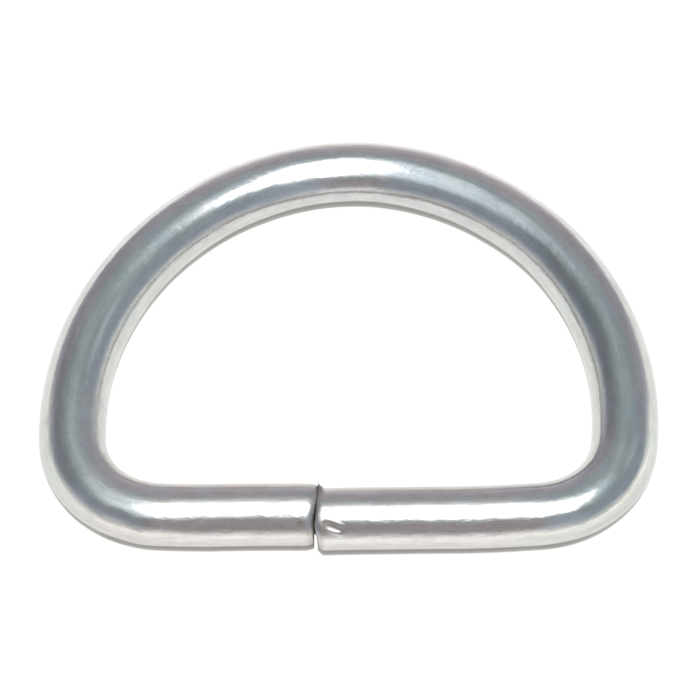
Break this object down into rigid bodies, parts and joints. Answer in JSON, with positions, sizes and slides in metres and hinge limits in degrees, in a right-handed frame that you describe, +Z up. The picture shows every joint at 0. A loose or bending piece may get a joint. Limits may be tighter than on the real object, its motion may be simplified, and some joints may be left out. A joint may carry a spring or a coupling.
{
  "type": "d ring",
  "caption": "D-shaped ring bent from round plated steel wire, with its butted cut ends meeting in the straight bar; it joins webbing to a hook.",
  "frame": {"origin": "middle of the ring's outline in plan, on the surface that it lies on", "axes": "+X along the straight bar, +Y from the bar to the crown of the arch, +Z up from the surface"},
  "size_m": [0.0324, 0.0252, 0.0035],
  "materials": {
    "plated_wire": "gloss"
  },
  "bodies": {
    "root": {"ring_wire": "plated_wire"}
  },
  "joints": []
}
